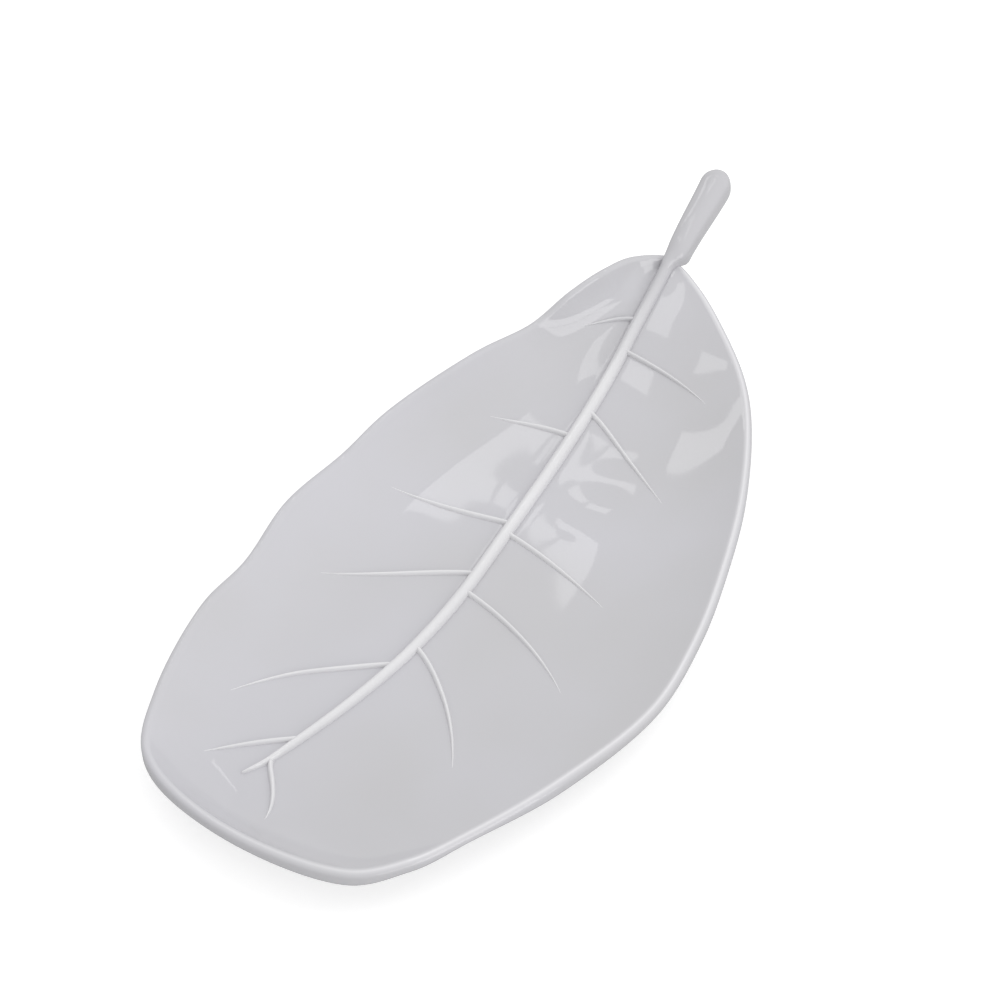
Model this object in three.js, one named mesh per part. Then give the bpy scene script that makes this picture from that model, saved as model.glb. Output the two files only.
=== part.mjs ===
// Leaf-shaped soap dish, in millimetres, +Z up, with +Y running from the leaf's blunt end to its stem.
// A shallow blade with a rounded, wavy edge carries a midrib that runs on as the stem, and twelve side
// veins. Four feet stand under it. Each piece seats on the blade with the same small gap.
import * as THREE from "three";
import { mergeVertices } from "three/addons/utils/BufferGeometryUtils.js";

// Driving dimensions of the blade
const bladeLength = 181.5; // from the leaf's base, at the stem, to its blunt end
const bladeWidth = 94; // across the widest part
const wall = 2.6; // thickness of the blade
const rimHeight = 13; // usual height of the rim's crest above the table
const rimLift = 8; // how far the curled lobe beside the stem stands above that
const edgeRound = 1.9; // how far the rounded edge stands past the rim's crest
const edgeDepth = 3.2; // least depth of the edge, from crest to underside
const edgeSwell = 2.4; // extra depth where the wavy edge is fullest
const edgeRoundShare = 0.45; // most of the edge's depth that its upper or lower rounding takes
const baseHeight = 16; // height of the rim where the stem crosses it
const endRise = 0.3; // how far the floor climbs towards the blunt end
const dishPower = 3; // how late the blade turns up towards its rim, in the wide part of the leaf
const basePower = 1.5; // and beside the stem, where it climbs almost straight
const shoulderShare = 0.35; // station by which the blade has its full dish shape
const edgeStartShare = 0.75; // reach at which the blade starts to thicken into its edge
const stemRampShare = 0.3; // share of the length over which the floor climbs to the stem
const stemRampPower = 2.5; // how late it climbs
const endRampShare = 0.15; // share of the length over which the floor climbs to the blunt end
const widestBedShare = 0.9; // most of the way to the rim that the midrib's level bed may take

// Driving dimensions of the stem, the midrib, the veins and the feet
const stemLength = 24; // past the leaf's base
const stemRise = 7.5; // climb of the free stem
const stemClimbPower = 1.5; // how late it climbs
const stemLeanDegrees = 2.5; // degrees that the free stem leans to the left
const stemWidth = 7.6; // at its free end
const stemCrown = 2.7; // height of the stem above its seat line
const stemBelly = 4.6; // depth of the free stem below its seat line
const bellyPower = 0.35; // 1 gives the belly an oval section, less squares it
const bellyRun = 0.5; // length past the rim over which that depth comes in
const stemTipShare = 0.97; // share of a full half-round that the stem's free end is given
const midribWidth = 3.1;
const midribHeight = 1.3;
const midribTip = 0.5; // width left where the midrib runs out
const midribHoldPower = 4; // how long the midrib keeps its width
const midribRunOutPower = 0.75; // how bluntly it then runs out
const veinWidth = 1.3;
const veinHeight = 0.7;
const veinTip = 0.3; // width and height left where a vein runs out
const veinHoldPower = 2.5; // how long a vein keeps its width
const footRadius = 5;
const footHeight = 2.2; // least height of the blade's underside above the table
const footChamfer = 0.5;

// Clearances
const seatGap = 0.3; // between the blade and what sits on it

// Colours and finishes
const dishPlastic = { color: 0xcdccd1, roughness: 0.2, metalness: 0 };
const footRubber = { color: 0xb4b4b8, roughness: 0.8, metalness: 0 };

// The leaf's plan, from the stem to the blunt end. Across is a share of the width, from its middle.
// Along is a share of the length, from the base. A margin point also has its lift, as a share of
// rimLift, and its swell, as a share of edgeSwell.
const spinePlan = [
  [-0.137, 0.02], [-0.136, 0.038], [-0.134, 0.068], [-0.129, 0.11], [-0.118, 0.165],
  [-0.1, 0.273], [-0.086, 0.372], [-0.075, 0.471], [-0.067, 0.57], [-0.079, 0.669],
  [-0.11, 0.755], [-0.152, 0.837], [-0.178, 0.88], [-0.205, 0.907],
];
const basePoint = [-0.137, 0, (baseHeight - rimHeight) / rimLift, 0.1];
const endPoint = [-0.149, 1.002, 0, 0.3];
const leftMargin = [
  [-0.212, 0.032, 0.62, 0.1], [-0.247, 0.083, 0.85, 0.2], [-0.287, 0.13, 0.62, 0.2],
  [-0.332, 0.182, 0.1, 0], [-0.386, 0.276, 0.41, 0.3], [-0.466, 0.405, 0.24, 0.4],
  [-0.49, 0.485, 0.06, 0.1], [-0.508, 0.592, 0.27, 0.5], [-0.496, 0.684, 0.08, 0.1],
  [-0.497, 0.768, 0.25, 0.6], [-0.451, 0.891, 0.11, 0.8], [-0.372, 0.968, 0.06, 0.8],
];
const rightMargin = [
  [-0.045, 0.018, 0.25, 0.1], [0.076, 0.062, 0.08, 0.1], [0.188, 0.115, -0.05, 0.3],
  [0.273, 0.178, -0.05, 0.1], [0.374, 0.288, 0, 0.5], [0.438, 0.391, 0, 0.2],
  [0.485, 0.499, 0, 0.25], [0.499, 0.616, 0, 0.2], [0.425, 0.755, 0, 0.5],
  [0.331, 0.868, 0, -0.2], [0.264, 0.93, 0, 0.2], [0.16, 0.979, -0.03, 0.6],
];

// Side veins, from the stem to the blunt end: the stations where each leaves the midrib and runs out, its
// reach towards the margin and how it bows. A station is a share of the way down the midrib.
const veinPlan = {
  left: [
    { root: 0.2, end: 0.253, reach: 0.72, bow: 3 },
    { root: 0.392, end: 0.41, reach: 0.66, bow: 2 },
    { root: 0.515, end: 0.536, reach: 0.74, bow: 1.2 },
    { root: 0.583, end: 0.655, reach: 0.71, bow: 1.2 },
    { root: 0.712, end: 0.815, reach: 0.66, bow: 1.1 },
    { root: 0.843, end: 0.895, reach: 0.6, bow: 0.9 },
  ],
  right: [
    { root: 0.27, end: 0.296, reach: 0.72, bow: 3 },
    { root: 0.36, end: 0.415, reach: 0.61, bow: 1.3 },
    { root: 0.526, end: 0.545, reach: 0.57, bow: 1.9 },
    { root: 0.604, end: 0.636, reach: 0.65, bow: 2 },
    { root: 0.681, end: 0.738, reach: 0.62, bow: 1.5 },
    { root: 0.911, end: 0.966, reach: 0.56, bow: 0.65 },
  ],
};

// Feet: station share and share of the way from the midrib to the margin
const footPlaces = {
  foot_stem_left: { side: "left", station: 0.4, reach: 0.5 },
  foot_stem_right: { side: "right", station: 0.4, reach: 0.5 },
  foot_end_left: { side: "left", station: 0.78, reach: 0.45 },
  foot_end_right: { side: "right", station: 0.78, reach: 0.45 },
};

// Mesh counts
const stepsPerStation = 4;
const topSteps = 9; // from the midrib's bed to the rim's crest
const roundSteps = 3; // over the rim's edge, and again under it
const veinSteps = 12;
const stemSteps = 12;
const stemSides = 12;
const veinSides = 8;
const footSides = 24;

const up = new THREE.Vector3(0, 0, 1);

function planPoint([across, along], height = 0) {
  return new THREE.Vector3(across * bladeWidth, -along * bladeLength, height);
}

const marginLoop = [basePoint, ...leftMargin, endPoint, ...rightMargin.toReversed()];
const outline = new THREE.CatmullRomCurve3(
  marginLoop.map((point) => planPoint(point, rimHeight + point[2] * rimLift)), true, "centripetal");
const edgeDepths = new THREE.CatmullRomCurve3(
  marginLoop.map(([, , , swell]) => new THREE.Vector3(edgeDepth + swell * edgeSwell, 0, 0)), true);
const spine = new THREE.CatmullRomCurve3(spinePlan.map((point) => planPoint(point)), false, "centripetal");

// A place on the blade is given by its turn, the share of the way round the margin from the base by the
// left side, and its reach, the share of the way from the midrib to the rim's crest.
function stationOf(turn) {
  return 1 - Math.abs(1 - 2 * turn);
}

function turnOf(side, station) {
  return side === "left" ? station / 2 : 1 - station / 2;
}

// The blade's upper face along the midrib, level in the middle and climbing towards both ends
function floorHeight(station) {
  const along = -spine.getPoint(station).y / bladeLength;
  const [stemSide, endSide] = [spinePlan[0][1], spinePlan.at(-1)[1]];
  const nearStem = Math.max(0, 1 - (along - stemSide) / stemRampShare);
  const nearEnd = Math.max(0, 1 - (endSide - along) / endRampShare);
  const lowest = footHeight + wall;
  return lowest + (baseHeight - lowest) * nearStem ** stemRampPower + endRise * nearEnd ** 2;
}

function midribWidthAt(station) {
  return midribTip + (midribWidth - midribTip) * (1 - station ** midribHoldPower) ** midribRunOutPower;
}

function outwardAt(turn) {
  const step = 1e-4;
  const before = outline.getPoint((turn - step + 1) % 1);
  const after = outline.getPoint((turn + step) % 1);
  return new THREE.Vector3(after.y - before.y, before.x - after.x, 0).normalize();
}

function crestAt(turn) {
  return outline.getPoint(turn % 1).addScaledVector(outwardAt(turn), -edgeRound);
}

// The reach of the level bed that the midrib sits on
function bedAt(turn) {
  const station = stationOf(turn);
  const ray = crestAt(turn).sub(spine.getPoint(station)).setZ(0);
  return Math.min(widestBedShare, (midribWidthAt(station) / 2 + seatGap) / ray.length());
}

function bladeTop(turn, reach) {
  const station = stationOf(turn);
  const floor = floorHeight(station);
  const crest = crestAt(turn);
  const point = spine.getPoint(station);
  const bed = bedAt(turn);
  const opened = THREE.MathUtils.smoothstep(station, 0, shoulderShare);
  const power = THREE.MathUtils.lerp(basePower, dishPower, opened);
  const climb = (Math.max(0, reach - bed) / (1 - bed)) ** power;
  point.lerp(crest, reach);
  point.z = floor + (crest.z - floor) * climb;
  return point;
}

function thicknessAt(turn, reach) {
  const blend = THREE.MathUtils.smoothstep(reach, edgeStartShare, 1);
  return THREE.MathUtils.lerp(wall, edgeDepths.getPoint(turn % 1).x, blend);
}

function bladeNormal(turn, reach) {
  const step = 1e-3;
  const round = bladeTop(turn + step, reach).sub(bladeTop((turn - step + 1) % 1, reach));
  const outward = bladeTop(turn, reach + step).sub(bladeTop(turn, reach - step));
  return outward.cross(round).normalize();
}

// One radial profile of the blade: out along the top, over and under the rounded edge, and back underneath
function bladeProfile(turn) {
  const top = [];
  const underside = [];
  const bed = bedAt(turn);
  for (let i = -1; i <= topSteps; i += 1) {
    const reach = i < 0 ? 0 : THREE.MathUtils.lerp(bed, 1, i / topSteps);
    const point = bladeTop(turn, reach);
    top.push(point);
    underside.unshift(point.clone().addScaledVector(up, -thicknessAt(turn, reach)));
  }
  const outward = outwardAt(turn);
  const crest = top.at(-1);
  const foot = underside[0];
  const over = [];
  const under = [];
  const roundDepth = Math.min(edgeRound, edgeRoundShare * thicknessAt(turn, 1));
  for (let i = 1; i <= roundSteps; i += 1) {
    const angle = (i / roundSteps) * (Math.PI / 2);
    const out = edgeRound * Math.sin(angle);
    const drop = roundDepth * (1 - Math.cos(angle));
    over.push(crest.clone().addScaledVector(outward, out).addScaledVector(up, -drop));
    under.unshift(foot.clone().addScaledVector(outward, out).addScaledVector(up, drop));
  }
  return [...top, ...over, ...under, ...underside];
}

function meshGeometry(points, triangles) {
  const geometry = new THREE.BufferGeometry();
  geometry.setAttribute("position", new THREE.Float32BufferAttribute(points.flatMap((p) => p.toArray()), 3));
  geometry.setIndex(triangles);
  const merged = mergeVertices(geometry, 1e-4);
  merged.computeVertexNormals();
  return merged;
}

function bladeGeometry() {
  const rings = marginLoop.length * stepsPerStation;
  const profiles = Array.from({ length: rings }, (_, i) => bladeProfile(i / rings));
  const count = profiles[0].length;
  const triangles = [];
  for (let i = 0; i < rings; i += 1) {
    const here = i * count;
    const next = ((i + 1) % rings) * count;
    for (let j = 0; j < count - 1; j += 1) {
      triangles.push(here + j, here + j + 1, next + j + 1, here + j, next + j + 1, next + j);
    }
  }
  return meshGeometry(profiles.flat(), triangles);
}

// A solid through a row of like sections, each turning anticlockwise about the way the row runs. Its end
// faces fan out from the crown, a quarter of the way round, so that a flat bottom makes no empty triangle.
function loftGeometry(sections) {
  const count = sections[0].length;
  const triangles = [];
  for (let i = 0; i < sections.length - 1; i += 1) {
    for (let j = 0; j < count; j += 1) {
      const here = i * count + j;
      const beside = i * count + ((j + 1) % count);
      triangles.push(here, beside, beside + count, here, beside + count, here + count);
    }
  }
  const last = (sections.length - 1) * count;
  const crown = Math.floor(count / 4);
  for (let j = 1; j < count - 1; j += 1) {
    const [near, far] = [(crown + j) % count, (crown + j + 1) % count];
    triangles.push(crown, far, near, last + crown, last + near, last + far);
  }
  return meshGeometry(sections.flat(), triangles);
}

// A section on its seat line: a round crown above it and, where there is one, a squarer belly below it
function ribSection(seat, along, normal, width, crown, belly, sides) {
  const across = normal.clone().cross(along).normalize();
  const section = [];
  for (let i = 0; i < sides; i += 1) {
    const angle = (i / sides) * 2 * Math.PI;
    const [cosine, sine] = [Math.cos(angle), Math.sin(angle)];
    const power = sine < 0 && belly > 0 ? bellyPower : 1;
    const rise = Math.sign(sine) * Math.abs(sine) ** power * (sine > 0 ? crown : belly);
    const out = (Math.sign(cosine) * Math.abs(cosine) ** power * width) / 2;
    section.push(seat.clone().addScaledVector(across, out).addScaledVector(normal, rise));
  }
  return section;
}

// The stops of the midrib and stem: up the middle of the blade, over the rim at its base and out past it
function stemStops() {
  const stops = [];
  const spineSteps = (spinePlan.length - 1) * stepsPerStation;
  for (let i = spineSteps; i >= 0; i -= 1) {
    const station = i / spineSteps;
    const width = midribWidthAt(station);
    const crown = (midribHeight * width) / midribWidth;
    const seat = bladeTop(turnOf("left", station), 0).addScaledVector(up, seatGap);
    stops.push({ seat, width, crown, belly: 0 });
  }
  const [start, before] = [stops.at(-1).seat, stops.at(-2).seat];
  const startSlope = (start.z - before.z) / Math.hypot(start.x - before.x, start.y - before.y);
  const lean = THREE.MathUtils.degToRad(stemLeanDegrees);
  const heading = new THREE.Vector3(-Math.sin(lean), Math.cos(lean), 0);
  const edgeOut = outline.getPoint(0).distanceTo(start);
  const rimClear = edgeOut + seatGap;
  const length = edgeOut + stemLength;
  const endRound = stemWidth / 2;
  const full = rimClear + bellyRun;
  const outs = [edgeOut / 2, rimClear];
  for (let i = 0; i <= stemSteps; i += 1) {
    outs.push(THREE.MathUtils.lerp(full, length, Math.sin((i / stemSteps) * (Math.PI / 2))));
  }
  for (const out of outs) {
    const share = out / length;
    const climb = startSlope * out * (1 - share) ** 2 + stemRise * share ** stemClimbPower;
    const rounding = Math.max(0, (out - (length - endRound)) / endRound);
    const shrink = Math.sqrt(1 - (stemTipShare * rounding) ** 2);
    const width = THREE.MathUtils.lerp(midribWidth, stemWidth, Math.sqrt(share)) * shrink;
    const crown = THREE.MathUtils.lerp(midribHeight, stemCrown, Math.sqrt(share)) * shrink;
    const belly = stemBelly * THREE.MathUtils.smoothstep(out, rimClear, full) * shrink;
    const seat = start.clone().addScaledVector(heading, out).addScaledVector(up, climb);
    stops.push({ seat, width, crown, belly });
  }
  return stops;
}

function stemGeometry() {
  const stops = stemStops();
  const sections = stops.map(({ seat, width, crown, belly }, i) => {
    const before = stops[Math.max(0, i - 1)].seat;
    const after = stops[Math.min(stops.length - 1, i + 1)].seat;
    const along = after.clone().sub(before).normalize();
    const upright = up.clone().addScaledVector(along, -along.z).normalize();
    return ribSection(seat, along, upright, width, crown, belly, stemSides);
  });
  return loftGeometry(sections);
}

// The reach at which a vein's root stands clear of the midrib's side, whatever the angle between them
function veinStart(side, { root, end, reach, bow }) {
  const foot = bladeTop(turnOf(side, root), 0);
  const early = 0.25; // share of the vein whose chord gives its first heading
  const chord = bladeTop(turnOf(side, root + (end - root) * early ** bow), reach * early).sub(foot).setZ(0);
  const midrib = spine.getTangent(root);
  const lean = Math.abs(chord.clone().normalize().dot(midrib));
  const clear = midribWidthAt(root) / 2 + seatGap + (veinWidth / 2) * lean;
  return (reach * early * clear) / (chord.length() * Math.sqrt(1 - lean ** 2));
}

function veinGeometry(side, vein) {
  const { root, end, reach, bow } = vein;
  const start = veinStart(side, vein);
  const placeAt = (share) => {
    const turn = turnOf(side, root + (end - root) * share ** bow);
    const out = start + (reach - start) * share;
    const normal = bladeNormal(turn, out);
    return { seat: bladeTop(turn, out).addScaledVector(normal, seatGap), normal };
  };
  const sections = [];
  for (let i = 0; i <= veinSteps; i += 1) {
    const share = i / veinSteps;
    const nudge = 0.5 / veinSteps;
    const { seat, normal } = placeAt(share);
    const before = placeAt(Math.max(0, share - nudge)).seat;
    const along = placeAt(Math.min(1, share + nudge)).seat.sub(before).normalize();
    const taper = 1 - share ** veinHoldPower;
    const width = veinTip + (veinWidth - veinTip) * taper;
    const crown = veinTip + (veinHeight - veinTip) * taper;
    sections.push(ribSection(seat, along, normal, width, crown, 0, veinSides));
  }
  return loftGeometry(sections);
}

// A foot whose upper face lies along the blade's underside above it
function footGeometry({ side, station, reach }) {
  const turn = turnOf(side, station);
  const centre = bladeTop(turn, reach).addScaledVector(up, -thicknessAt(turn, reach) - seatGap);
  const tilt = bladeNormal(turn, reach);
  const ring = (radius, heightAt) => Array.from({ length: footSides }, (_, i) => {
    const angle = (i / footSides) * 2 * Math.PI;
    const x = radius * Math.cos(angle);
    const y = radius * Math.sin(angle);
    return new THREE.Vector3(centre.x + x, centre.y + y, heightAt(x, y));
  });
  return loftGeometry([
    ring(footRadius - footChamfer, () => 0),
    ring(footRadius, () => footChamfer),
    ring(footRadius, (x, y) => centre.z - (tilt.x * x + tilt.y * y) / tilt.z),
  ]);
}

const plastic = new THREE.MeshStandardMaterial(dishPlastic);
const rubber = new THREE.MeshStandardMaterial(footRubber);
const part = new THREE.Group();

function addPiece(name, geometry, material) {
  const mesh = new THREE.Mesh(geometry, material);
  mesh.name = name;
  part.add(mesh);
}

addPiece("leaf_dish", bladeGeometry(), plastic);
addPiece("stem_midrib", stemGeometry(), plastic);
for (const [side, veins] of Object.entries(veinPlan)) {
  veins.forEach((vein, i) => addPiece(`vein_${side}_${i + 1}`, veinGeometry(side, vein), plastic));
}
for (const [name, place] of Object.entries(footPlaces)) {
  addPiece(name, footGeometry(place), rubber);
}

// The origin is under the middle of the whole dish, on the table
const box = new THREE.Box3().setFromObject(part);
const middle = box.getCenter(new THREE.Vector3());
part.position.set(-middle.x, -middle.y, -box.min.z);
part.updateMatrixWorld(true);

export default part;
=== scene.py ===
"""Leaf-shaped soap dish in glossy moulded plastic: a dished blade with a rounded, wavy edge, a stem that
runs on as the midrib, side veins and four rubber feet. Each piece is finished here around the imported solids.
"""

import math

import bmesh
import bpy
import numpy as np
from bpy.props import FloatProperty, FloatVectorProperty, PointerProperty
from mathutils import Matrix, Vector


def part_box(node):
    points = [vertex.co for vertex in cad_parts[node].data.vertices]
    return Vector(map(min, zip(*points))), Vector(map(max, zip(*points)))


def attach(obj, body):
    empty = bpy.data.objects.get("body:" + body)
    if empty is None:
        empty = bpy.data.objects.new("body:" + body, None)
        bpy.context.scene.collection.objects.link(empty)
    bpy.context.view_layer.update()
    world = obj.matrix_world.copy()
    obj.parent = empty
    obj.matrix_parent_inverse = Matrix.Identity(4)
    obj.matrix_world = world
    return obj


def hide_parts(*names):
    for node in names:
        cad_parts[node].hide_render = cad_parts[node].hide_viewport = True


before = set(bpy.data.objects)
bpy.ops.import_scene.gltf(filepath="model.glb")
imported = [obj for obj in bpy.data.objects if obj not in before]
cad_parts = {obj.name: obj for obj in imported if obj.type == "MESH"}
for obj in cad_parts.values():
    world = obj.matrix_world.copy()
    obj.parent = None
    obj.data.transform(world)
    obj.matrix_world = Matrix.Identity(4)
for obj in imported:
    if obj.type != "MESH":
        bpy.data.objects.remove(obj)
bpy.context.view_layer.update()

bl_info = {
    "name": "Leaf Soap Dish",
    "version": (1, 0, 0),
    "blender": (4, 5, 0),
    "location": "3D View > Sidebar > Leaf Dish",
    "description": "Builds a leaf-shaped soap dish in moulded plastic, with its stem, veins and feet",
    "category": "Add Mesh",
}

UP = np.array([0.0, 0.0, 1.0])
WHITE = (1.0, 1.0, 1.0, 1.0)

# The leaf's plan, from the stem to the blunt end. Across is a share of the width, from its middle, and
# along a share of the length, from the base. A margin point also has its lift, a share of the rim's lift,
# and its swell, a share of the edge's swell.
SPINE_PLAN = (
    (-0.137, 0.02), (-0.136, 0.038), (-0.134, 0.068), (-0.129, 0.11), (-0.118, 0.165),
    (-0.1, 0.273), (-0.086, 0.372), (-0.075, 0.471), (-0.067, 0.57), (-0.079, 0.669),
    (-0.11, 0.755), (-0.152, 0.837), (-0.178, 0.88), (-0.205, 0.907),
)
BASE_POINT = (-0.137, 0, 0.375, 0.1)
END_POINT = (-0.149, 1.002, 0, 0.3)
LEFT_MARGIN = (
    (-0.212, 0.032, 0.62, 0.1), (-0.247, 0.083, 0.85, 0.2), (-0.287, 0.13, 0.62, 0.2),
    (-0.332, 0.182, 0.1, 0), (-0.386, 0.276, 0.41, 0.3), (-0.466, 0.405, 0.24, 0.4),
    (-0.49, 0.485, 0.06, 0.1), (-0.508, 0.592, 0.27, 0.5), (-0.496, 0.684, 0.08, 0.1),
    (-0.497, 0.768, 0.25, 0.6), (-0.451, 0.891, 0.11, 0.8), (-0.372, 0.968, 0.06, 0.8),
)
RIGHT_MARGIN = (
    (-0.045, 0.018, 0.25, 0.1), (0.076, 0.062, 0.08, 0.1), (0.188, 0.115, -0.05, 0.3),
    (0.273, 0.178, -0.05, 0.1), (0.374, 0.288, 0, 0.5), (0.438, 0.391, 0, 0.2),
    (0.485, 0.499, 0, 0.25), (0.499, 0.616, 0, 0.2), (0.425, 0.755, 0, 0.5),
    (0.331, 0.868, 0, -0.2), (0.264, 0.93, 0, 0.2), (0.16, 0.979, -0.03, 0.6),
)

# Side veins, from the stem to the blunt end: the stations where each leaves the midrib and runs out, its
# reach towards the margin and how it bows. A station is a share of the way down the midrib.
VEIN_PLAN = {
    "left": (
        (0.2, 0.253, 0.72, 3), (0.392, 0.41, 0.66, 2), (0.515, 0.536, 0.74, 1.2),
        (0.583, 0.655, 0.71, 1.2), (0.712, 0.815, 0.66, 1.1), (0.843, 0.895, 0.6, 0.9),
    ),
    "right": (
        (0.27, 0.296, 0.72, 3), (0.36, 0.415, 0.61, 1.3), (0.526, 0.545, 0.57, 1.9),
        (0.604, 0.636, 0.65, 2), (0.681, 0.738, 0.62, 1.5), (0.911, 0.966, 0.56, 0.65),
    ),
}

# Feet: side, station and share of the way from the midrib to the margin
FOOT_PLAN = {
    "stem_left": ("left", 0.4, 0.5),
    "stem_right": ("right", 0.4, 0.5),
    "end_left": ("left", 0.78, 0.45),
    "end_right": ("right", 0.78, 0.45),
}

# How the blade's form runs
SHOULDER_SHARE = 0.35  # station by which the blade has its full dish shape
EDGE_START_SHARE = 0.75  # reach at which the blade starts to thicken into its edge
STEM_RAMP_SHARE = 0.3  # share of the length over which the floor climbs to the stem
STEM_RAMP_POWER = 2.5  # how late it climbs
END_RAMP_SHARE = 0.15  # share of the length over which the floor climbs to the blunt end
DISH_POWER = 3.0  # how late the blade turns up towards its rim, in the wide part of the leaf
BASE_POWER = 1.5  # and beside the stem
WIDEST_BED_SHARE = 0.9  # most of the way to the rim that the midrib's bed may take
BEAD_SHARE = 0.45  # share of the edge's rows that run over its rounded crest
LIP_SHARE = 0.6  # share by which they have come down its outer face
ROW_EASE = 1.35  # how much closer together the blade's rows lie near its rim
SLOPE_STEP = 1e-3  # change of turn or reach over which the blade's slope is taken
MARGIN_STEP = 1e-4  # change of turn over which the margin's heading is taken

# Slow waves in the moulded blade: length, heading, height and phase
RIPPLES = (
    (0.03, math.radians(25), 0.00002, 0.6),
    (0.021, math.radians(110), 0.000014, 2.1),
    (0.014, math.radians(65), 0.000007, 4.0),
)
# Shallow hollows in it: place across and along, radius, and the tilt across and along
HOLLOWS = (
    (0.006, 0.017, 0.007, 0, 0.06),
    (0.005, 0.003, 0.0035, 0, 0.035),
    (-0.002, 0.024, 0.005, -0.03, 0),
    (-0.01, 0.011, 0.009, 0, -0.03),
)
RIPPLE_FADE_SHARE = 0.85  # reach at which the waves start to die out towards the rim

# A fine groove on each side of the midrib: how far each row lies past the midrib's side, and how deep
GROOVE_ROWS = ((-0.0002, 0.0002), (0.0001, 0.00015), (0.0004, 0.0))

# How the ribs run
MIDRIB_HOLD_POWER = 4  # how long the midrib keeps its width
MIDRIB_RUN_OUT_POWER = 0.75  # how bluntly it then runs out
VEIN_ROOT_SHARE = 0.35  # share of the midrib's bed at which a vein starts
VEIN_HOLD_POWER = 2.5  # how long a vein keeps its width before it runs out
VEIN_TIP_SHARE = 0.2  # share of its width that it keeps there
BELLY_POWER = 0.35  # 1 gives the stem's belly an oval section, less squares it
STEM_CLIMB_POWER = 1.5  # how late the free stem climbs
STEM_TIP_SHARE = 0.97  # share of a full half-round that the stem's free end is given
END_CLEAR = 0.0001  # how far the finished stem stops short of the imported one
ROOT_LENGTH = 0.004  # along the stem, inside the rim, where its belly swells to full depth
STEP_LENGTH = 0.002  # along the stem, inside the rim, where its right side steps out

# Light panels overhead: place, size and turn. What the gloss mirrors of them are the pale patches.
PANEL_HEIGHT = 1.2
OVERHEAD_PANELS = (
    ((-0.27, 0.79), (0.48, 0.07), math.radians(-16)),
    ((-0.595, 0.872), (0.15, 0.085), 0),
    ((-1.475, 0.72), (1.05, 0.26), 0),
    ((-0.5, 0.41), (0.09, 0.15), 0),
    ((-0.125, 0.31), (0.59, 0.1), math.radians(140)),
    ((-0.46, 0.1), (0.18, 0.12), 0),
    ((-0.96, 0.2), (0.28, 0.12), 0),
)
# Light panels beside the dish, aimed at it: place, size and radiance
SIDE_PANELS = (
    ((1.0, -0.3, 0.5), (0.5, 0.5), 1.6),
    ((1.0, -0.44, 0.12), (0.9, 0.24), 1.8),
)
# A soft panel on its right, which lights the dish without showing in its gloss: place, size and radiance
FILL_PANEL = ((0.36, 0.43, 1.06), (0.8, 0.42), 1.9)
POWER_PER_RADIANCE = 4.0  # watts that give a panel of one square metre a radiance of 1

# The floor and the camera
FLOOR_SIZE = 6.0
FLOOR_TONE = 0.6
FLOOR_ROUGHNESS = 0.9
SENSOR_WIDTH = 36.0  # millimetres

# Finishes: the span of roughness, the scales of clouds and grain, and the strength of the grain
PLASTIC_FINISH = ((0.03, 0.05), (26.0, 700.0), 0.003)
RUBBER_FINISH = ((0.6, 0.75), (300.0, 3000.0), 0.3)
CLOUD_DETAIL = 2.0
CLOUD_ROUGHNESS = 0.45
CLOUD_SPAN = (0.35, 0.65)  # the noise over which one tone goes over to the other
GRAIN_DETAIL = 3.0
GRAIN_DEPTH = 0.0001
CREST_HIGHLIGHT_MASK = "rim"  # the blade's attribute that marks where the painted highlight lies on the crest of its edge
CREST_ROW = 2.0  # rows past the blade's top at which the crest lies
HIGHLIGHT_SPREAD = 1.0  # rows over which the painted highlight fades
HIGHLIGHT_SPAN = (0.42, 0.6)  # turns over which the painted highlight comes in, round the blunt end to the right side
STEM_SHADE_SPAN = (0.045, 0.078)  # metres towards the stem, where the ribs' painted highlight goes over to the stem's painted shade

# Meshing
WELD_DISTANCE = 2e-6  # closest that two corners may lie
LEAST_EDGE = 1e-7  # shorter edges are taken out
SMOOTH_ANGLE = math.radians(50)  # faces that meet at less than this shade as one
ROUNDING_LEVELS = 1  # times that a piece is subdivided
CHAMFER_STEPS = 3
TURN_STEPS = 260
MARGIN_SAMPLES = 4 * TURN_STEPS  # points at which the margin's own box is measured
TOP_ROWS = 34
EDGE_ROWS = 14
UNDER_ROWS = 18
SPINE_STOPS = 90
STEM_STOPS = 26
STEM_SIDES = 24
VEIN_STOPS = 36
VEIN_SIDES = 12
FOOT_SIDES = 48


class BladeSettings(bpy.types.PropertyGroup):
    """Sizes of the leaf's blade"""

    length: FloatProperty(
        name="Length", description="From the leaf's base to its blunt end", default=0.1815, unit="LENGTH")
    width: FloatProperty(name="Width", description="Across the widest part", default=0.094, unit="LENGTH")
    wall: FloatProperty(name="Wall", description="Thickness of the blade", default=0.0026, unit="LENGTH")
    rim_height: FloatProperty(
        name="Rim Height", description="Usual height of the rim's crest", default=0.013, unit="LENGTH")
    rim_lift: FloatProperty(
        name="Rim Lift", description="How far the curled lobe stands above that", default=0.008,
        unit="LENGTH")
    base_height: FloatProperty(
        name="Base Height", description="Height of the rim under the stem", default=0.016, unit="LENGTH")
    end_rise: FloatProperty(
        name="End Rise", description="Climb of the floor to the blunt end", default=0.0003, unit="LENGTH")
    edge_round: FloatProperty(
        name="Edge Round", description="How far the rounded edge stands past its crest", default=0.0019,
        unit="LENGTH")
    edge_depth: FloatProperty(
        name="Edge Depth", description="Least depth of the edge", default=0.0032, unit="LENGTH")
    edge_swell: FloatProperty(
        name="Edge Swell", description="Extra depth where the wavy edge is fullest", default=0.0024,
        unit="LENGTH")


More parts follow.
